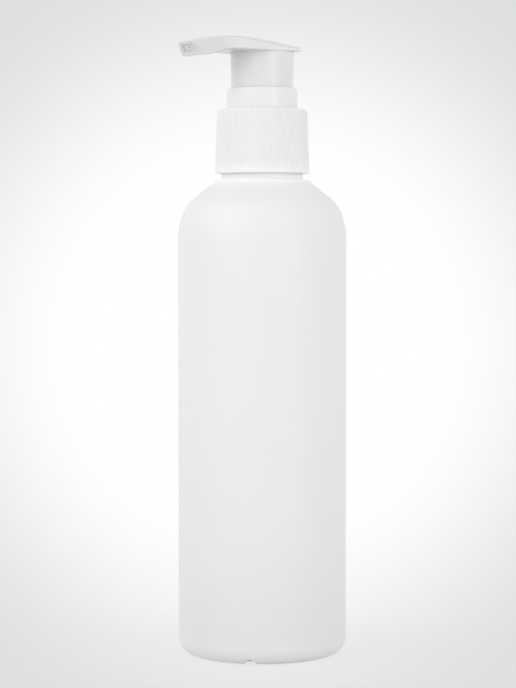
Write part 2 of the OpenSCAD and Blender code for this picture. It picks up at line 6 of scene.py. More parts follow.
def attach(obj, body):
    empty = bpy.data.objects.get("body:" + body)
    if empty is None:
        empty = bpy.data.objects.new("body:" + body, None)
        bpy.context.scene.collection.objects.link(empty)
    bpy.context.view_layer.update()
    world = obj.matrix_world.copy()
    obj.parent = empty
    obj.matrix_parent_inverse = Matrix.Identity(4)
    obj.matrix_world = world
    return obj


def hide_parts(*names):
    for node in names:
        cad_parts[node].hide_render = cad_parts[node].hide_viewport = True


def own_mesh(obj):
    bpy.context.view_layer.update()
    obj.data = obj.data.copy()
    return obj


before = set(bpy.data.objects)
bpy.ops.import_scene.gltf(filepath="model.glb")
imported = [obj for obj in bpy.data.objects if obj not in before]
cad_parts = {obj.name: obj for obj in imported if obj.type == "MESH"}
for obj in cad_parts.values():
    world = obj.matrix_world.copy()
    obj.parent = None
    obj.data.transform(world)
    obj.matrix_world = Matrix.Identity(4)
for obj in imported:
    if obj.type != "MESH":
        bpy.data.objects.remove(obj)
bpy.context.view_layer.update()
scene = bpy.context.scene
mm = 0.001
overrun = 1  # how far a cutting tool passes through, in millimetres
filletShare = 0.49  # how much of an edge one fillet may take


def clearSelection():
    if bpy.context.object and bpy.context.object.mode != "OBJECT":
        bpy.ops.object.mode_set(mode="OBJECT")
    bpy.ops.object.select_all(action="DESELECT")


def pick(obj):
    clearSelection()
    obj.select_set(True)
    bpy.context.view_layer.objects.active = obj


def editAll(obj):
    pick(obj)
    bpy.ops.object.mode_set(mode="EDIT")
    bpy.ops.mesh.select_mode(type="VERT")
    bpy.ops.mesh.select_all(action="SELECT")


def leaveEdit():
    bpy.ops.object.mode_set(mode="OBJECT")


def tidyFaces(obj, distance=0.001):
    # Merges what coincides, in millimetres, and turns every face outwards
    editAll(obj)
    bpy.ops.mesh.remove_doubles(threshold=distance * mm)
    bpy.ops.mesh.normals_make_consistent(inside=False)
    leaveEdit()


def arc(middle, radii, start, end, steps):
    # Points (r, z) on a part of an ellipse, angles in degrees
    turns = [math.radians(start + (end - start) * i / steps) for i in range(steps + 1)]
    return [(middle[0] + radii[0] * math.cos(a), middle[1] + radii[1] * math.sin(a)) for a in turns]


def filleted(corners, steps=4):
    # Corners are (r, z) or (r, z, radius), and a corner with a radius becomes a fillet
    points = []
    for i, corner in enumerate(corners):
        if len(corner) == 2:
            points.append(corner)
            continue
        here = Vector(corner[:2])
        back = Vector(corners[i - 1][:2]) - here
        ahead = Vector(corners[i + 1][:2]) - here
        half = back.angle(ahead) / 2
        reach = min(corner[2] / math.tan(half), filletShare * back.length, filletShare * ahead.length)
        radius = reach * math.tan(half)
        inwards = (back.normalized() + ahead.normalized()).normalized()
        middle = here + inwards * (radius / math.sin(half))
        first = here + back.normalized() * reach - middle
        last = here + ahead.normalized() * reach - middle
        sweep = math.atan2(first.x * last.y - first.y * last.x, first.dot(last))
        for k in range(steps + 1):
            spoke = Matrix.Rotation(sweep * k / steps, 2) @ first
            points.append((middle.x + spoke.x, middle.y + spoke.y))
    return points


def drawn(name, outline, closed=True):
    # Draws an outline (r, z) in the XZ plane, one extruded point after another
    clearSelection()
    bpy.ops.mesh.primitive_plane_add(size=mm, location=(outline[0][0] * mm, 0, outline[0][1] * mm))
    obj = bpy.context.object
    obj.name = name
    bpy.ops.object.transform_apply(location=True)
    editAll(obj)
    bpy.ops.mesh.merge(type="CENTER")
    for (r0, z0), (r1, z1) in zip(outline, outline[1:]):
        step = ((r1 - r0) * mm, 0, (z1 - z0) * mm)
        bpy.ops.mesh.extrude_region_move(TRANSFORM_OT_translate={"value": step})
    leaveEdit()
    if closed:
        editAll(obj)
        bpy.ops.mesh.select_all(action="DESELECT")
        leaveEdit()
        verts = obj.data.vertices
        verts[0].select = verts[len(verts) - 1].select = True
        bpy.ops.object.mode_set(mode="EDIT")
        bpy.ops.mesh.edge_face_add()
        leaveEdit()
    return obj


def turned(name, outline, steps, closed=True):
    # An outline spun into a closed body of revolution
    obj = drawn(name, outline, closed)
    editAll(obj)
    bpy.ops.mesh.spin(steps=steps, angle=2 * math.pi, center=(0, 0, 0), axis=(0, 0, 1))
    leaveEdit()
    tidyFaces(obj)
    return obj


def rod(radius, low, high, steps=64):
    # An upright rod on the axis, used to cut a bore or to stand as a boss
    clearSelection()
    bpy.ops.mesh.primitive_cylinder_add(vertices=steps, radius=radius * mm, depth=(high - low) * mm,
                                        location=(0, 0, (low + high) / 2 * mm))
    bpy.ops.object.transform_apply(location=True)
    return bpy.context.object


def box(lows, highs):
    # A block between two corners, used to cut
    clearSelection()
    middle = [(a + b) / 2 * mm for a, b in zip(lows, highs)]
    bpy.ops.mesh.primitive_cube_add(size=mm, location=middle)
    obj = bpy.context.object
    obj.scale = [b - a for a, b in zip(lows, highs)]
    bpy.ops.object.transform_apply(location=True, scale=True)
    return obj


def combine(obj, tool, operation="DIFFERENCE"):
    pick(obj)
    step = obj.modifiers.new("combine", "BOOLEAN")
    step.operation = operation
    step.solver = "EXACT"
    step.object = tool
    bpy.ops.object.modifier_apply(modifier=step.name)
    bpy.data.objects.remove(tool)


# Both screw threads: steps are those of one turn, and a ridge grows from its end share over its first rings
thread = {"pitch": 3.175, "steps": 48, "endRings": 3, "endShare": 0.08}


def screwRidge(name, ridge, low):
    # One section of the ridge, extruded and screwed upwards, thin at both ends
    root, crest = ridge["rootW"] / 2, ridge["crestW"] / 2
    section = [(ridge["rootR"], low - root), (ridge["crestR"], low - crest),
               (ridge["crestR"], low + crest), (ridge["rootR"], low + root)]
    obj = drawn(name, section)
    editAll(obj)
    bpy.ops.mesh.edge_face_add()
    steps = round(ridge["turns"] * thread["steps"])
    turn = Matrix.Rotation(2 * math.pi / thread["steps"], 3, "Z")
    for _ in range(steps):
        bpy.ops.mesh.extrude_region_move()
        leaveEdit()
        for v in obj.data.vertices:
            if v.select:
                v.co = turn @ v.co
                v.co.z += thread["pitch"] / thread["steps"] * mm
        bpy.ops.object.mode_set(mode="EDIT")
    leaveEdit()
    for i, v in enumerate(obj.data.vertices):
        ring = i // len(section)
        grown = min(1, ring / thread["endRings"], (steps - ring) / thread["endRings"])
        r = math.hypot(v.co.x, v.co.y)
        wanted = ridge["rootR"] * mm + (r - ridge["rootR"] * mm) * max(thread["endShare"], grown)
        v.co.x *= wanted / r
        v.co.y *= wanted / r
        v.co = Matrix.Rotation(math.radians(ridge["start"]), 3, "Z") @ v.co
    tidyFaces(obj)
    return obj


def extrudedRings(rings):
    # A filled ring of points, extruded from each ring to the next
    clearSelection()
    bpy.ops.mesh.primitive_circle_add(vertices=len(rings[0]), radius=mm, fill_type="NGON")
    block = bpy.context.object
    for v, place in zip(block.data.vertices, rings[0]):
        v.co = Vector(place) * mm
    editAll(block)
    for ring in rings[1:]:
        bpy.ops.mesh.extrude_region_move()
        leaveEdit()
        added = block.data.vertices[len(block.data.vertices) - len(ring):]
        for v, place in zip(added, ring):
            v.co = Vector(place) * mm
        bpy.ops.object.mode_set(mode="EDIT")
    leaveEdit()
    tidyFaces(block)
    return block


def finishPiece(obj, name, material, body, node, angle=35):
    # Smooths all but edges sharper than the angle, and sets what the piece looks like and moves with
    pick(obj)
    bpy.ops.object.shade_smooth_by_angle(angle=math.radians(angle))
    even = obj.modifiers.new("even", "WEIGHTED_NORMAL")
    even.keep_sharp = True
    bpy.ops.object.modifier_apply(modifier=even.name)
    obj.name = name
    obj.data.materials.clear()
    obj.data.materials.append(material)
    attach(obj, body)
    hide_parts(node)
    print("made", name, "with", len(obj.data.polygons), "faces")


# Nodes that several materials and the studio use


def feed(tree, socket, value):
    # Links another node's output to the socket, or sets it to a plain value
    if isinstance(value, bpy.types.NodeSocket):
        tree.links.new(value, socket)
    else:
        socket.default_value = value


def mathOf(tree, operation, *values):
    node = tree.nodes.new("ShaderNodeMath")
    node.operation = operation
    for socket, value in zip(node.inputs, values):
        feed(tree, socket, value)
    return node.outputs["Value"]


def rampOf(tree, value, start, end, low, high, curve="SMOOTHSTEP"):
    # Goes from low to high as the value goes from start to end
    node = tree.nodes.new("ShaderNodeMapRange")
    node.interpolation_type = curve
    limits = {"Value": value, "From Min": start, "From Max": end, "To Min": low, "To Max": high}
    for socketName, limit in limits.items():
        feed(tree, node.inputs[socketName], limit)
    return node.outputs["Result"]


def mixOf(tree, factor, first, second):
    node = tree.nodes.new("ShaderNodeMix")
    for socketName, value in (("Factor", factor), ("A", first), ("B", second)):
        feed(tree, node.inputs[socketName], value)
    return node.outputs["Result"]


def noiseOf(tree, place, scale, detail):
    node = tree.nodes.new("ShaderNodeTexNoise")
    for socketName, value in (("Vector", place), ("Scale", scale), ("Detail", detail)):
        feed(tree, node.inputs[socketName], value)
    return node.outputs["Fac"]


def partOf(tree, vector, axis):
    node = tree.nodes.new("ShaderNodeSeparateXYZ")
    tree.links.new(vector, node.inputs["Vector"])
    return node.outputs[axis]


def newMaterial(name):
    material = bpy.data.materials.new(name)
    material.use_nodes = True
    tree = material.node_tree
    return material, tree, tree.nodes["Principled BSDF"]


# Materials

plastics = {
    # Depth is how far light spreads in the resin, in millimetres
    # A paler tone past given heights is a painted light, with the heights between which the tone turns into
    # it; it lifts the shade under the collar and under the head
    # Side is painted light and shade on the head: the paler tone of its steep faces, towards the rear, with
    # the places along the spout between which it comes, and with how upright a face's normal is where it
    # starts and ends to count as flat, so that the top and underside keep the darker tone
    "bottleResin": {
        "tone": (0.87, 0.87, 0.87), "rough": 0.4, "grain": 0.25, "wave": 0.8, "scatter": 0.1,
        # Painted light: the neck from the ledge up is paler, lifting the shade under the collar
        "depth": 1.0, "paintedLift": {"tone": 0.99, "fromZ": 138.3, "toZ": 142},
    },
    "closureResin": {
        "tone": (0.87, 0.87, 0.87), "rough": 0.24, "grain": 0.15, "wave": 0.2, "scatter": 0.1,
        # Painted light: the collar's lowest band is paler than the rest
        "depth": 1.0, "paintedLift": {"tone": 0.92, "fromZ": 146.5, "toZ": 144},
    },
    "headResin": {
        # Painted shade: the head's tone is set darker than the other white parts
        "tone": (0.715, 0.715, 0.715), "rough": 0.24, "grain": 0.15, "wave": 0.3, "scatter": 0.1,
        # Painted light: the skirt below the head is paler, lifting the shade under the head
        "depth": 1.0, "paintedLift": {"tone": 0.81, "fromZ": 178.4, "toZ": 176},
        # Painted light and shade: steep faces paler towards the rear, top and underside darker
        "side": {"tone": 0.85, "fromX": -18, "toX": 0, "steep": 0.4, "flat": 0.8},
    },
    "naturalResin": {
        "tone": (0.78, 0.79, 0.8), "rough": 0.38, "grain": 0.3, "wave": 0.3, "scatter": 0.5, "depth": 1.5,
    },
    "foamSheet": {
        "tone": (0.74, 0.76, 0.78), "rough": 0.75, "grain": 1.6, "wave": 0.3, "scatter": 0.05, "depth": 0.5,
    },
}
moulding = {
    # Scales of the noises, each with its detail, then how much they move height, gloss and tone
    "grain": (2600, 3), "slow": (150, 2), "broad": (45, 2), "grainHeight": 0.004, "slowHeight": 0.05,
    "grainGloss": 0.08, "broadGloss": 0.12, "broadTone": 0.03, "bumpDepth": 1.0, "ior": 1.5,
}
steel = {"tone": (0.62, 0.63, 0.65), "grain": (1800, 2), "roughLow": 0.18, "roughHigh": 0.34}


def mouldedGroup():
    # Fine grain and slow unevenness of a moulded wall, with the drift of tone and gloss that go with them
    m = moulding
    group = bpy.data.node_groups.new("moulded surface", "ShaderNodeTree")
    sockets = {
        "INPUT": {"Vector": "Vector", "Tone": "Color", "Rough": "Float", "Grain": "Float", "Wave": "Float"},
        "OUTPUT": {"Color": "Color", "Roughness": "Float", "Height": "Float"},
    }
    for side, kinds in sockets.items():
        for socketName, kind in kinds.items():
            group.interface.new_socket(socketName, in_out=side, socket_type="NodeSocket" + kind)
    given = group.nodes.new("NodeGroupInput").outputs
    results = group.nodes.new("NodeGroupOutput").inputs
    grain, slow, broad = (noiseOf(group, given["Vector"], *m[kind]) for kind in ("grain", "slow", "broad"))
    fineHeight = mathOf(group, "MULTIPLY", grain, mathOf(group, "MULTIPLY", given["Grain"], m["grainHeight"]))
    slowHeight = mathOf(group, "MULTIPLY", slow, mathOf(group, "MULTIPLY", given["Wave"], m["slowHeight"]))
    feed(group, results["Height"], mathOf(group, "ADD", fineHeight, slowHeight))
    # Each drift lies evenly round the middle of its noise
    drift = mathOf(group, "MULTIPLY_ADD", broad, m["broadGloss"], -m["broadGloss"] / 2)
    speckle = mathOf(group, "MULTIPLY_ADD", grain, m["grainGloss"], -m["grainGloss"] / 2)
    uneven = mathOf(group, "ADD", drift, speckle)
    feed(group, results["Roughness"], mathOf(group, "ADD", given["Rough"], uneven))
    shade = group.nodes.new("ShaderNodeHueSaturation")
    level = mathOf(group, "MULTIPLY_ADD", broad, m["broadTone"], 1 - m["broadTone"] / 2)
    feed(group, shade.inputs["Color"], given["Tone"])
    feed(group, shade.inputs["Value"], level)
    feed(group, results["Color"], shade.outputs["Color"])
    return group


def paintedShadingTone(tree, place, values):
    # Painted light and shade: the tone turns paler past given heights, lifting the shade under the collar and
    # the head, and on the head's steep faces along the spout towards the rear, while its top and underside
    # stay darker
    tone, paintedLift = values["tone"][0], values["paintedLift"]
    if "side" in values:
        side = values["side"]
        # Painted light: steep faces turn paler from the spout towards the rear
        along = rampOf(tree, partOf(tree, place, "X"), side["fromX"] * mm, side["toX"] * mm,
                       tone, side["tone"], "LINEAR")
        # Painted shade: faces that look up or down keep the darker tone
        normal = tree.nodes.new("ShaderNodeNewGeometry").outputs["Normal"]
        lift = mathOf(tree, "ABSOLUTE", partOf(tree, normal, "Z"))
        tone = mixOf(tree, rampOf(tree, lift, side["steep"], side["flat"], 0, 1), along, tone)
    # Painted light: paler past the given heights, where shade falls under the collar and the head
    return rampOf(tree, partOf(tree, place, "Z"), paintedLift["fromZ"] * mm, paintedLift["toZ"] * mm, tone, paintedLift["tone"])


def makePlastic(name, surface):
    values = plastics[name]
    material, tree, shader = newMaterial(name)
    place = tree.nodes.new("ShaderNodeTexCoord").outputs["Object"]
    mould = tree.nodes.new("ShaderNodeGroup")
    mould.node_tree = surface
    tone = paintedShadingTone(tree, place, values) if "paintedLift" in values else (*values["tone"], 1)
    feed(tree, mould.inputs["Vector"], place)
    feed(tree, mould.inputs["Tone"], tone)
    for socketName in ("Rough", "Grain", "Wave"):
        mould.inputs[socketName].default_value = values[socketName.lower()]
    bump = tree.nodes.new("ShaderNodeBump")
    bump.inputs["Distance"].default_value = moulding["bumpDepth"] * mm
    bump.inputs["Strength"].default_value = 1
    feed(tree, bump.inputs["Height"], mould.outputs["Height"])
    feed(tree, shader.inputs["Normal"], bump.outputs["Normal"])
    feed(tree, shader.inputs["Base Color"], mould.outputs["Color"])
    feed(tree, shader.inputs["Roughness"], mould.outputs["Roughness"])
    shader.inputs["IOR"].default_value = moulding["ior"]
    shader.inputs["Subsurface Weight"].default_value = values["scatter"]
    shader.inputs["Subsurface Radius"].default_value = (1, 1, 1)
    shader.inputs["Subsurface Scale"].default_value = values["depth"] * mm
    return material


def makeSteel():
    material, tree, shader = newMaterial("springSteel")
    place = tree.nodes.new("ShaderNodeTexCoord").outputs["Object"]
    grain = noiseOf(tree, place, *steel["grain"])
    rough = rampOf(tree, grain, 0, 1, steel["roughLow"], steel["roughHigh"], "LINEAR")
    feed(tree, shader.inputs["Roughness"], rough)
    shader.inputs["Base Color"].default_value = (*steel["tone"], 1)
    shader.inputs["Metallic"].default_value = 1
    return material


surface = mouldedGroup()
materials = {name: makePlastic(name, surface) for name in plastics}
materials["springSteel"] = makeSteel()

nodeFinish = {
    "bottle": "bottleResin", "collar": "closureResin", "pump_housing": "closureResin",
    "actuator": "headResin", "neck_gasket": "foamSheet", "stem_guide": "naturalResin",
    "ball_retainer": "naturalResin", "plunger_stem": "naturalResin", "piston_rod": "naturalResin",
    "piston": "naturalResin", "dip_tube": "naturalResin", "inlet_ball": "springSteel",
    "return_spring": "springSteel",
}
for node, finish in nodeFinish.items():
    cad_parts[node].data.materials.clear()
    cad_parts[node].data.materials.append(materials[finish])
print("materials ready")

# Bottle, from the push-up in its base to the neck's rim and down the inside again

bottle = {
    "bodyR": 25, "wall": 1.0, "floorT": 2.0, "heelR": 4.6, "pushUp": 2.4, "standW": 1.5,
    "sideZ": (25, 50, 75, 100), "sideTopZ": 123.2, "roundH": 13.5, "roundW": 7.8, "roundTurn": 65,
    "ledgeR": 14.3, "ledgeZ": 140.4, "ledgeH": 0.6, "ledgeFoot": 0.4, "ledgeEdge": 0.2,
    "beadR": 12.1, "beadH": 3.6, "beadFoot": 0.25, "beadEdge": 0.3,
    "neckR": 10.75, "neckFoot": 0.3, "rimZ": 158, "rimEdge": 0.3,
    "boreR": 9.3, "boreEdge": 0.2, "boreFoot": 1.2,
    "notchW": 4.2, "notchH": 1.6, "notchTurn": 228,
    "steps": 240, "pushUpPoints": 10, "heelPoints": 14, "heelInPoints": 10, "roundPoints": 20,
    "notchPoints": 40, "threadZ": 151.04,
    "ridge": {"rootR": 10.55, "crestR": 11.8, "rootW": 1.75, "crestW": 0.8, "turns": 1.5, "start": 0},
}


def standR():
    # Where the push-up ends and the flat standing ring begins
    return bottle["bodyR"] - bottle["heelR"] - bottle["standW"]


def pushUpArc(lift):
    shares = [i / bottle["pushUpPoints"] for i in range(bottle["pushUpPoints"] + 1)]
    return [(standR() * a, lift + bottle["pushUp"] * (1 - a ** 2)) for a in shares]


def shoulderArc(inset):
    b = bottle
    return arc((b["bodyR"] - b["roundW"], b["sideTopZ"]), (b["roundW"] - inset, b["roundH"] - inset),
               0, b["roundTurn"], b["roundPoints"])


def heelArc(inset, lift, steps):
    b = bottle
    return arc((b["bodyR"] - b["heelR"], b["heelR"] + lift), (b["heelR"] - inset,) * 2, -90, 0, steps)


def makeBottle():
    b = bottle
    ledgeTop = b["ledgeZ"] + b["ledgeH"]
    beadTop = ledgeTop + b["beadH"]
    side = [(b["bodyR"], z) for z in b["sideZ"]]
    neck = filleted([
        shoulderArc(0)[-1], (b["ledgeR"], b["ledgeZ"], b["ledgeFoot"]),
        (b["ledgeR"], ledgeTop, b["ledgeEdge"]), (b["beadR"], ledgeTop, b["beadFoot"]),
        (b["beadR"], beadTop, b["beadEdge"]), (b["neckR"], beadTop, b["neckFoot"]),
        (b["neckR"], b["rimZ"], b["rimEdge"]), (b["boreR"], b["rimZ"], b["boreEdge"]),
        (b["boreR"], b["ledgeZ"], b["boreFoot"]), shoulderArc(b["wall"])[-1],
    ])
    outline = pushUpArc(0) + heelArc(0, 0, b["heelPoints"]) + side + shoulderArc(0) + neck[1:-1]
    inside = pushUpArc(b["floorT"]) + heelArc(b["wall"], b["floorT"] - b["wall"], b["heelInPoints"])
    inside += shoulderArc(b["wall"])
    shell = turned("bottleShell", outline + inside[::-1], b["steps"], closed=False)
    combine(shell, screwRidge("bottleThread", b["ridge"], b["threadZ"]), "UNION")
    # Registration notch across the heel's standing edge
    notch = rod(b["notchW"] / 2, standR() - overrun, b["bodyR"] + overrun, b["notchPoints"])
    turn = Matrix.Rotation(math.radians(b["notchTurn"]), 4, "Z") @ Matrix.Rotation(math.pi / 2, 4, "Y")
    notch.data.transform(Matrix.Translation((0, 0, (b["notchH"] - b["notchW"] / 2) * mm)) @ turn)
    combine(shell, notch)
    finishPiece(shell, "bottle_shell", materials["bottleResin"], "bottle", "bottle")


makeBottle()

# Collar: one rib's sector is modelled, then copied round the axis

collar = {
    "footR": 14.03, "draft": 2.1, "low": 142.9, "top": 161.9, "topT": 1.6, "footIn": 0.25, "footEdge": 0.07,
    "band": 1.2, "bandStep": 0.12, "round": 1.1, "roundPoints": 8, "filletPoints": 3, "smooth": 40,
    "ribs": 100, "ribH": 0.2, "ribRun": 0.35, "ribLevels": 6,
    "crestShares": (0, 0.08, 0.5, 0.9, 1, 0.9, 0.5, 0.08, 0),
    "innerR": 12.15, "innerFootR": 12.45, "innerFootZ": 144.6, "innerFootH": 0.3, "innerWall": 0.4,
    "roofFillet": 0.3, "mouthEdge": 0.15, "holeR": 10.55, "holeEdge": 0.12,
    "snapR": 10.77, "snapHalf": 0.4, "snapLand": 0.1, "merge": 0.004,
    "ridge": {"rootR": 12.35, "crestR": 11.15, "rootW": 1.7, "crestW": 0.8, "turns": 1.25, "start": -151.2},
    "ridgeLag": 0.92,  # how far it starts under the bottle's ridge, in pitches
}


def collarSide(z):
    return collar["footR"] - (z - collar["low"]) * math.tan(math.radians(collar["draft"]))


def collarOutline(roundZ, bandZ):
    c = collar
    foot = collarSide(c["low"])
    ribZ = bandZ + c["ribRun"]
    under = c["top"] - c["topT"]
    snapZ = (under + c["top"]) / 2
    levels = [c["low"] + c["footIn"], bandZ - c["bandStep"], bandZ, bandZ + c["bandStep"]]
    levels += [ribZ + (roundZ - ribZ) * k / c["ribLevels"] for k in range(c["ribLevels"])]
    outline = [(foot - c["footIn"], c["low"]), (foot - c["footEdge"], c["low"] + c["footEdge"])]
    outline += [(collarSide(z), z) for z in levels]
    outline += arc((collarSide(roundZ) - c["round"], roundZ), (c["round"],) * 2, 0, 90, c["roundPoints"])
    inner = filleted([
        outline[-1], (c["holeR"], c["top"], c["holeEdge"]), (c["holeR"], snapZ + c["snapHalf"]),
        (c["snapR"], snapZ + c["snapLand"]), (c["snapR"], snapZ - c["snapLand"]),
        (c["holeR"], snapZ - c["snapHalf"]), (c["holeR"], under), (c["innerR"], under, c["roofFillet"]),
        (c["innerR"], c["innerFootZ"] + c["innerFootH"]), (c["innerFootR"], c["innerFootZ"]),
        (c["innerFootR"], c["low"], c["mouthEdge"]), outline[0],
    ], c["filletPoints"])
    return outline + inner[1:-1]


def makeCollar():
    c = collar
    roundZ = c["top"] - c["round"]
    bandZ = c["low"] + c["band"]
    pitch = 2 * math.pi / c["ribs"]
    columns = len(c["crestShares"]) - 1
    sector = drawn("collar", collarOutline(roundZ, bandZ))
    editAll(sector)
    bpy.ops.mesh.spin(steps=columns, angle=pitch, center=(0, 0, 0), axis=(0, 0, 1))
    leaveEdit()
    # The land between two ribs lies lower, and runs out in the round at the top, while the inner wall stays
    for v in sector.data.vertices:
        r, z = math.hypot(v.co.x, v.co.y) / mm, v.co.z / mm
        if z < bandZ + c["bandStep"] / 2 or r < c["innerR"] + c["innerWall"]:
            continue
        column = round(abs(math.atan2(v.co.y, v.co.x)) / pitch * columns)
        depth = c["ribH"] * (1 - c["crestShares"][column])
        if z > roundZ:
            depth *= 1 - ((z - roundZ) / c["round"]) ** 2
        v.co.x *= 1 - depth / r
        v.co.y *= 1 - depth / r
    editAll(sector)
    bpy.ops.mesh.spin(steps=c["ribs"] - 1, angle=2 * math.pi - pitch, dupli=True, center=(0, 0, 0),
                      axis=(0, 0, 1))
    leaveEdit()
    tidyFaces(sector, c["merge"])
    ridgeZ = bottle["threadZ"] - c["ridgeLag"] * thread["pitch"]
    combine(sector, screwRidge("collarThread", c["ridge"], ridgeZ), "UNION")
    finishPiece(sector, "ribbed_collar", materials["closureResin"], "collar", "collar",
                c["smooth"])


makeCollar()

# Pump housing, whose guide ring shows above the collar

housing = {
    "socketR": 3.97, "socketLow": 108.85, "socketTop": 118.8, "tubeR": 3.02, "tubeTop": 118.85,
    "seatHouseR": 4.725, "seatHouseLow": 119.75, "seatTop": 123.5, "seatR": 3.3, "seatZ": 121.7,
    "inletR": 1.8, "inletTop": 119.72, "barrelR": 7.7, "barrelInR": 6.75, "barrelLow": 125.05,
    "barrelFloor": 126.0, "flangeR": 11.3, "flangeLow": 158.8, "flangeTop": 160.2, "wellZ": 159.8,
    "ringR": 10.45, "ringInR": 9.45, "ringTop": 168.1, "ringRoundW": 0.7, "ringRoundH": 1.4,
    "snapR": 10.67, "snapZ": 161.1, "snapHalf": 0.3, "ventR": 0.45, "ventZ": 151.3,
    "fineEdge": 0.1, "edge": 0.15, "smallFillet": 0.2, "fillet": 0.3, "houseFillet": 0.4,
    "barrelFillet": 0.5, "steps": 160, "ringPoints": 8, "ventPoints": 24,
}


def makeHousing():
    h = housing
    outline = filleted([
        (h["socketR"], h["socketLow"]), (h["socketR"], h["socketTop"], h["smallFillet"]),
        (h["seatHouseR"], h["seatHouseLow"], h["smallFillet"]),
        (h["seatHouseR"], h["seatTop"], h["houseFillet"]), (h["barrelR"], h["barrelLow"], h["barrelFillet"]),
        (h["barrelR"], h["flangeLow"], h["fillet"]), (h["flangeR"], h["flangeLow"], h["edge"]),
        (h["flangeR"], h["flangeTop"], h["edge"]), (h["ringR"], h["flangeTop"]),
        (h["ringR"], h["snapZ"] - h["snapHalf"]), (h["snapR"], h["snapZ"]),
        (h["ringR"], h["snapZ"] + h["snapHalf"]),
    ])
    outline += arc((h["ringR"] - h["ringRoundW"], h["ringTop"] - h["ringRoundH"]),
                   (h["ringRoundW"], h["ringRoundH"]), 0, 90, h["ringPoints"])
    outline += filleted([
        (h["ringInR"], h["ringTop"] - h["fineEdge"]), (h["ringInR"], h["wellZ"], h["fillet"]),
        (h["barrelInR"], h["wellZ"], h["smallFillet"]), (h["barrelInR"], h["barrelFloor"], h["fillet"]),
        (h["seatR"], h["barrelFloor"], h["edge"]), (h["seatR"], h["seatZ"], h["smallFillet"]),
        (h["inletR"], h["inletTop"]), (h["inletR"], h["tubeTop"]), (h["tubeR"], h["tubeTop"], h["fineEdge"]),
        (h["tubeR"], h["socketLow"]),
    ])
    pump = turned("pump", outline, h["steps"])
    vent = rod(h["ventR"], h["barrelInR"] - overrun, h["barrelR"] + overrun, h["ventPoints"])
    vent.data.transform(Matrix.Translation((0, 0, h["ventZ"] * mm)) @ Matrix.Rotation(math.pi / 2, 4, "X"))
    combine(pump, vent)
    finishPiece(pump, "pump_body", materials["closureResin"], "pump", "pump_housing")


makeHousing()

# Actuator head, lofted along the spout and then joined to its skirt

head = {
    # The block's form, seen from the side, from above and at its thumb rest
    "topZ": 183.0, "underZ": 178.62, "reach": 26.7, "rear": 11.25, "width": 19.6, "tipW": 8.9,
    "crownOut": 10.7, "frontR": 60, "rearR": 102.6, "crossR": 50,
    "slant": 2.3, "leanFrom": 17, "leanRounds": 3, "lipDrop": 1.75, "lipFrom": 14.5, "lipTo": 23.5,
    "rearLift": 0.5, "rearRound": 8,
    "restSide": 16.1, "restRear": 7.3, "restPlace": (-5.34, 9.31, 180.9), "crease": 0.08,
    "rimT": 0.3, "rimRearT": 0.8, "rimFrom": 4, "rimTo": 10, "rimSearch": 30,
    # Its edges and the spacing of its points, with the rear's turns as first, end and step in degrees
    "topEdge": 0.45, "topEdgeShare": 0.45, "underEdge": 0.6, "rearUnderEdge": 0.3, "underEdgeTo": 9,
    "underEdgeShare": 0.5, "tipEdge": 0.3, "rearEdge": 0.12, "edgeTurns": (90, 60, 30),
    "rearTurns": (12, 90, 6), "tiltStep": 0.4, "station": 0.5,
    "underPoints": 10, "turnPoints": 6, "sidePoints": 4, "topPoints": 32,
    # Skirt, socket, relief and duct
    "skirtTopR": 9.41, "skirtFootR": 9.193, "skirtInR": 8.243, "skirtZ": 167.3, "skirtLap": 0.1,
    "skirtEdge": 0.25, "skirtInEdge": 0.2, "skirtSteps": 160,
    "socketR": 4.32, "socketZ": 168.2, "socketLap": 0.3, "stemR": 3.22, "stemTop": 176.0, "boreR": 2.1,
    "reliefR": 6.2, "reliefH": 1.35, "reliefDrop": 0.5, "reliefIn": 0.02,
    "ductZ": 181.03, "ductH": 0.4, "ductW": 0.5, "outletZ": 179.03, "outletW": 6.0, "outletH": 2.0,
    "recess": 0.45, "merge": 0.0005,
}


def share(value, start, end):
    # How far the value is on its way from start to end, from 0 to 1
    return max(0, min(1, (value - start) / (end - start)))


def crownZ(s):
    # s runs from the axis towards the spout's tip
    r = head["frontR"] if s > head["crownOut"] else head["rearR"]
    return head["topZ"] - r + math.sqrt(r * r - (s - head["crownOut"]) ** 2)


def planHalfWidth(s):
    narrowing = (head["width"] - head["tipW"]) / 2
    bow = (head["reach"] ** 2 + narrowing ** 2) / (2 * narrowing)
    half = math.sqrt(bow * bow - s * s) - bow + head["width"] / 2
    r = head["rearRound"]
    back = -s - head["rear"] + r
    if back > 0:
        half = min(half, head["width"] / 2 - r + math.sqrt(max(0, r * r - back * back)))
    return half


def underZ(s):
    if s < 0:
        return head["underZ"] - head["rearLift"] * s / head["rear"]
    t = share(s, head["lipFrom"], head["lipTo"])
    return head["underZ"] - head["lipDrop"] * t * t * (3 - 2 * t)


def topZ(s, y):
    # The crown, cut at both sides by the falling faces of the thumb rest, with a softened crease
    crown = crownZ(s) - head["crossR"] + math.sqrt(head["crossR"] ** 2 - y * y)
    side, rear = math.radians(head["restSide"]), math.radians(head["restRear"])
    x0, y0, z0 = head["restPlace"]
    normal = (math.cos(side) * math.sin(rear), math.sin(side), math.cos(side) * math.cos(rear))
    rest = z0 - (normal[0] * (-s - x0) + normal[1] * (abs(y) - y0)) / normal[2]
    low = min(crown, rest)
    k = head["crease"]
    return low - k * math.log(math.exp((low - crown) / k) + math.exp((low - rest) / k))


def rimHalfWidth(s):
    # The plan's width, or less where the thumb rest would leave the rim too thin
    wide = planHalfWidth(s)
    rearwards = share(-s, head["rimFrom"], head["rimTo"])
    least = underZ(s) + head["rimT"] + (head["rimRearT"] - head["rimT"]) * rearwards
    if topZ(s, wide) >= least:
        return wide
    narrow = 0
    for _ in range(head["rimSearch"]):
        middle = (narrow + wide) / 2
        if topZ(s, middle) < least:
            wide = middle
        else:
            narrow = middle
    return narrow


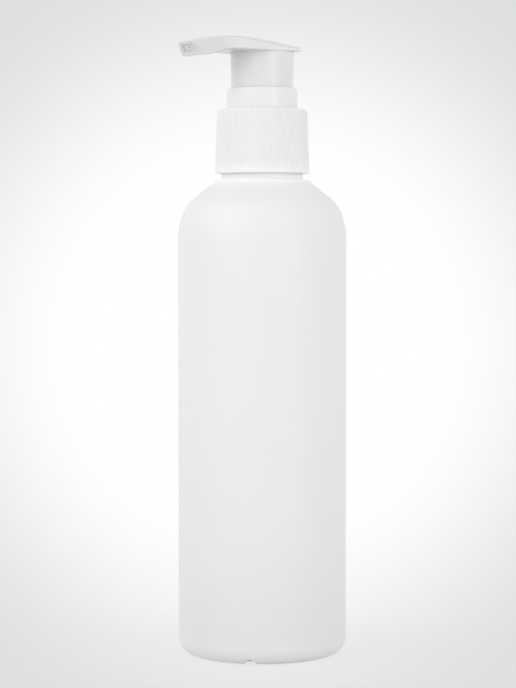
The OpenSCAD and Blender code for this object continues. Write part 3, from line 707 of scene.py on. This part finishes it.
def halfSection(s, inset):
    # From the middle of the underside, round the rim, to the middle of the top
    h = head
    wide = rimHalfWidth(s) - inset
    low = underZ(s) + inset
    edge = topZ(s, wide) - inset
    underEdge = h["rearUnderEdge"] + (h["underEdge"] - h["rearUnderEdge"]) * share(s, 0, h["underEdgeTo"])
    lowR = min(underEdge, h["underEdgeShare"] * (edge - low))
    tilt = math.atan((topZ(s, wide - h["tiltStep"]) - topZ(s, wide)) / h["tiltStep"])
    highR = min(h["topEdge"], h["topEdgeShare"] * (edge - low))
    highY = wide - highR
    touchY = highY + highR * math.sin(tilt)
    highZ = topZ(s, touchY) - inset - highR * math.cos(tilt)
    points = [((wide - lowR) * k / h["underPoints"], low) for k in range(h["underPoints"])]
    points += arc((wide - lowR, low + lowR), (lowR, lowR), -90, 0, h["turnPoints"])
    rise = (highZ - low - lowR) / h["sidePoints"]
    points += [(wide, low + lowR + rise * k) for k in range(1, h["sidePoints"])]
    points += arc((highY, highZ), (highR, highR), 0, 90 - math.degrees(tilt), h["turnPoints"])
    inner = [touchY * (1 - k / h["topPoints"]) for k in range(1, h["topPoints"] + 1)]
    return points + [(y, topZ(s, y) - inset) for y in inner]


def slantRun():
    # How far the slanted end face runs back for each millimetre down
    return head["slant"] / (crownZ(head["reach"]) - underZ(head["reach"]))


def ringAt(u, inset=0):
    # A whole ring, which leans more and more towards the slanted end face as it nears the tip
    lean = share(u, head["leanFrom"], head["reach"]) ** 2
    points = []
    for i, (y, z) in enumerate(halfSection(u, inset)):
        s = u
        for _ in range(head["leanRounds"] if lean else 0):
            s = u - lean * slantRun() * (crownZ(head["reach"]) - z)
            y, z = halfSection(s, inset)[i]
        points.append((-s, y, z))
    return points + [(x, -y, z) for x, y, z in points[-2:0:-1]]


def headRings():
    # Close together round the rear corners, then even steps to the tip
    r, rear, tip = head["rearRound"], head["rearEdge"], head["tipEdge"]
    turns = [math.radians(a) for a in head["edgeTurns"]]
    rings = [ringAt(-head["rear"] + rear * (1 - math.sin(a)), rear * (1 - math.cos(a))) for a in turns]
    corner = -head["rear"] + r
    stations = [corner - r * math.cos(math.radians(a)) for a in range(*head["rearTurns"])]
    rest = head["reach"] - tip - corner
    count = round(rest / head["station"])
    stations += [corner + rest * k / count for k in range(count + 1)]
    rings += [ringAt(s) for s in stations]
    rings += [ringAt(head["reach"] - tip + tip * math.sin(a), tip * (1 - math.cos(a))) for a in turns[::-1]]
    return rings


def makeActuator():
    h = head
    halfW, halfH = h["outletW"] / 2, h["outletH"] / 2
    tipX = -h["reach"] - overrun
    actuator = extrudedRings(headRings())
    skirtTop = h["underZ"] + h["rearLift"] + h["skirtLap"]
    skirt = filleted([(h["skirtInR"], skirtTop), (h["skirtInR"], h["skirtZ"], h["skirtInEdge"]),
                      (h["skirtFootR"], h["skirtZ"], h["skirtEdge"]), (h["skirtTopR"], skirtTop)])
    combine(actuator, turned("skirt", skirt, h["skirtSteps"]), "UNION")
    combine(actuator, rod(h["socketR"], h["socketZ"], h["underZ"] + h["socketLap"]), "UNION")
    combine(actuator, rod(h["stemR"], h["socketZ"] - overrun, h["stemTop"]))
    combine(actuator, rod(h["boreR"], h["stemTop"] - overrun, h["ductZ"]))
    # Relief round the socket, kept whole under the duct
    reliefTop = h["underZ"] + h["reliefH"]
    relief = rod(h["reliefR"], h["underZ"] - h["reliefDrop"], reliefTop)
    combine(relief, rod(h["socketR"] - h["reliefIn"], h["underZ"] - overrun, reliefTop + overrun))
    combine(relief, box((-h["reliefR"] - overrun, -halfW, h["underZ"] - overrun),
                        (0, halfW, reliefTop + overrun)))
    combine(actuator, relief)
    # The duct falls from the stem to a wider recess in the slanted end
    duct = box((tipX, -h["ductW"] / 2, -h["ductH"] / 2), (0, h["ductW"] / 2, h["ductH"] / 2))
    for v in duct.data.vertices:
        v.co.z += (h["outletZ"] if v.co.x < -mm else h["ductZ"]) * mm
    combine(actuator, duct)
    recess = box((tipX, -halfW, h["outletZ"] - halfH), (0, halfW, h["outletZ"] + halfH))
    for v in recess.data.vertices:
        if v.co.x > -mm:
            v.co.x = -(h["reach"] - h["recess"] - slantRun() * (crownZ(h["reach"]) - v.co.z / mm)) * mm
    combine(actuator, recess)
    tidyFaces(actuator, h["merge"])
    finishPiece(actuator, "actuator_head", materials["headResin"], "plunger", "actuator")


makeActuator()

# Return spring, a round wire coiled up from the ball retainer

spring = {
    "coilR": 4.9, "wireR": 0.4, "turns": 6.5, "low": 127.45, "high": 142.2, "closeEnds": 0.35,
    "pressed": 0.548, "rings": 24, "sides": 12, "smooth": 60,
}


def wireRing(along):
    s = spring
    a = 2 * math.pi * s["turns"] * along
    rise = along - s["closeEnds"] * math.sin(2 * math.pi * along) / (2 * math.pi)
    middle = s["low"] + (s["high"] - s["low"]) * rise
    wire = arc((s["coilR"], middle), (s["wireR"],) * 2, 0, 360, s["sides"])[:-1]
    return [(r * math.cos(a), r * math.sin(a), z) for r, z in wire]


def makeSpring():
    s = spring
    count = round(s["turns"] * s["rings"])
    coil = extrudedRings([wireRing(k / count) for k in range(count + 1)])
    finishPiece(coil, "coil_spring", materials["springSteel"], "spring", "return_spring",
                s["smooth"])
    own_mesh(coil)


makeSpring()

# Camera at the photograph's angle, in degrees and millimetres

camera = {
    "azimuth": -33, "pitch": 2.72, "distance": 674.7, "aside": -1.25, "height": 124.3, "lens": 118.54,
    "nearest": 10,
}


def makeCamera():
    c = camera
    a = math.radians(c["azimuth"])
    back = Vector((math.sin(a), -math.cos(a), 0))
    aside = Vector((math.cos(a), math.sin(a), 0))
    place = (back * c["distance"] + aside * c["aside"] + Vector((0, 0, c["height"]))) * mm
    clearSelection()
    bpy.ops.object.camera_add(location=place, rotation=(math.radians(90 - c["pitch"]), 0, a))
    view = bpy.context.object
    view.data.lens = c["lens"]
    view.data.clip_start = c["nearest"] * mm
    scene.camera = view
    return view


view = makeCamera()

# Studio: the backdrop, the floor and the lamps

studio = {
    # Degrees off the picture's middle, where the white backdrop fades and where it is white again; the fade
    # is a painted pool of light round the middle, also mirrored in the object's gloss
    "fadeStart": 4.3, "fadeEnd": 10.5, "fadeLevel": 0.745, "clearStart": 12, "clearEnd": 28,
    # Light on the object from round it and from overhead, and how steeply up the change starts and ends
    "ambient": 0.955, "zenith": 0.44, "zenithFrom": 0.5, "zenithTo": 0.95,
    # The floor's shadow and what it throws back, with lengths in metres; round the bottle's foot what it
    # throws back is a painted shadow, a darker floor colour in a ring
    "shadow": 0.12, "shadowFrom": 0.03, "shadowR": 0.09, "floorTone": 0.95, "floorBounce": 0.82,
    "nearBounce": 0.5, "nearR": 0.047, "nearHalf": 0.008, "nearEnd": 0.022,
    "floorSize": 12, "floorDrop": 0.0002, "lampTarget": (0, 0, 0.09),
}
lamps = {
    # Turn from the camera's direction and lift, in degrees, as seen from the bottle, and lengths in metres
    "key": {"turn": -55, "lift": 35, "distance": 0.75, "size": (0.6, 0.6), "power": 1.25},
    "side": {"turn": 41, "lift": 8, "distance": 0.6, "size": (0.1, 0.6), "power": 0.46},
    "fill": {"turn": 24, "lift": 5, "distance": 0.8, "size": (0.5, 0.6), "power": 0.22},
}


def seenRays(tree):
    # One for rays that show the backdrop: seen, mirrored or let through
    path = tree.nodes.new("ShaderNodeLightPath").outputs
    mirrored = mathOf(tree, "MAXIMUM", path["Is Camera Ray"], path["Is Glossy Ray"])
    return mathOf(tree, "MAXIMUM", mirrored, path["Is Transmission Ray"])


def vectorOf(tree, operation, vector, *others):
    node = tree.nodes.new("ShaderNodeVectorMath")
    node.operation = operation
    for socket, value in zip(node.inputs, (vector, *others)):
        feed(tree, socket, value)
    return node.outputs["Value"]


def makeWorld():
    s = studio
    world = bpy.data.worlds.new("studio")
    scene.world = world
    world.use_nodes = True
    tree = world.node_tree
    place = tree.nodes.new("ShaderNodeTexCoord").outputs["Generated"]
    # Seen rays meet the backdrop, a painted pool of light which fades with the angle off the picture's middle
    # and clears beyond
    middle = view.rotation_euler.to_matrix() @ Vector((0, 0, -1))
    angle = mathOf(tree, "ARCCOSINE", vectorOf(tree, "DOT_PRODUCT", place, middle))
    limits = [math.radians(s[key]) for key in ("fadeStart", "fadeEnd", "clearStart", "clearEnd")]
    fade = rampOf(tree, angle, *limits[:2], 1, s["fadeLevel"])
    rise = rampOf(tree, angle, *limits[2:], 0, 1 - s["fadeLevel"])
    backdrop = mathOf(tree, "ADD", fade, rise)
    # Unseen rays meet an even light, a little weaker overhead
    sky = rampOf(tree, partOf(tree, place, "Z"), s["zenithFrom"], s["zenithTo"], s["ambient"], s["zenith"])
    feed(tree, tree.nodes["Background"].inputs["Color"], mixOf(tree, seenRays(tree), sky, backdrop))


def matt(tree, tone):
    node = tree.nodes.new("ShaderNodeBsdfDiffuse")
    feed(tree, node.inputs["Color"], tone)
    return node.outputs["BSDF"]


def mixShader(tree, factor, first, second):
    node = tree.nodes.new("ShaderNodeMixShader")
    for socket, value in zip(node.inputs, (factor, first, second)):
        feed(tree, socket, value)
    return node.outputs["Shader"]


def makeFloor():
    s = studio
    clearSelection()
    bpy.ops.mesh.primitive_plane_add(size=s["floorSize"], location=(0, 0, -s["floorDrop"]))
    floor = bpy.context.object
    floor.name = "floor"
    material, tree, shader = newMaterial("floor")
    tree.nodes.remove(shader)
    place = tree.nodes.new("ShaderNodeTexCoord").outputs["Object"]
    length = vectorOf(tree, "LENGTH", place)
    # Clear to seen rays, which go on to the backdrop, but for the soft shadow near the bottle
    clear = tree.nodes.new("ShaderNodeBsdfTransparent").outputs["BSDF"]
    near = rampOf(tree, length, s["shadowFrom"], s["shadowR"], s["shadow"], 0)
    seen = mixShader(tree, near, clear, matt(tree, (s["floorTone"],) * 3 + (1,)))
    # Painted shadow: for unseen rays the floor's colour is darker in a ring round the foot of the bottle, so
    # the light it throws back on the lower body is weaker
    away = mathOf(tree, "ABSOLUTE", mathOf(tree, "SUBTRACT", length, s["nearR"]))
    bounce = rampOf(tree, away, s["nearHalf"], s["nearEnd"], s["nearBounce"], s["floorBounce"])
    both = mixShader(tree, seenRays(tree), matt(tree, bounce), seen)
    feed(tree, tree.nodes["Material Output"].inputs["Surface"], both)
    floor.data.materials.append(material)


def makeLamps():
    target = Vector(studio["lampTarget"])
    for name, lamp in lamps.items():
        turn = math.radians(camera["azimuth"] + lamp["turn"])
        lift = math.radians(lamp["lift"])
        away = Vector((math.sin(turn) * math.cos(lift), -math.cos(turn) * math.cos(lift), math.sin(lift)))
        clearSelection()
        bpy.ops.object.light_add(type="AREA", location=target + away * lamp["distance"],
                                 rotation=away.to_track_quat("Z", "Y").to_euler())
        light = bpy.context.object
        light.name = name + " lamp"
        light.visible_camera = False
        light.data.shape = "RECTANGLE"
        light.data.size, light.data.size_y = lamp["size"]
        light.data.energy = lamp["power"]


makeWorld()
makeFloor()
makeLamps()
scene.view_settings.view_transform = "Standard"
print("studio ready")
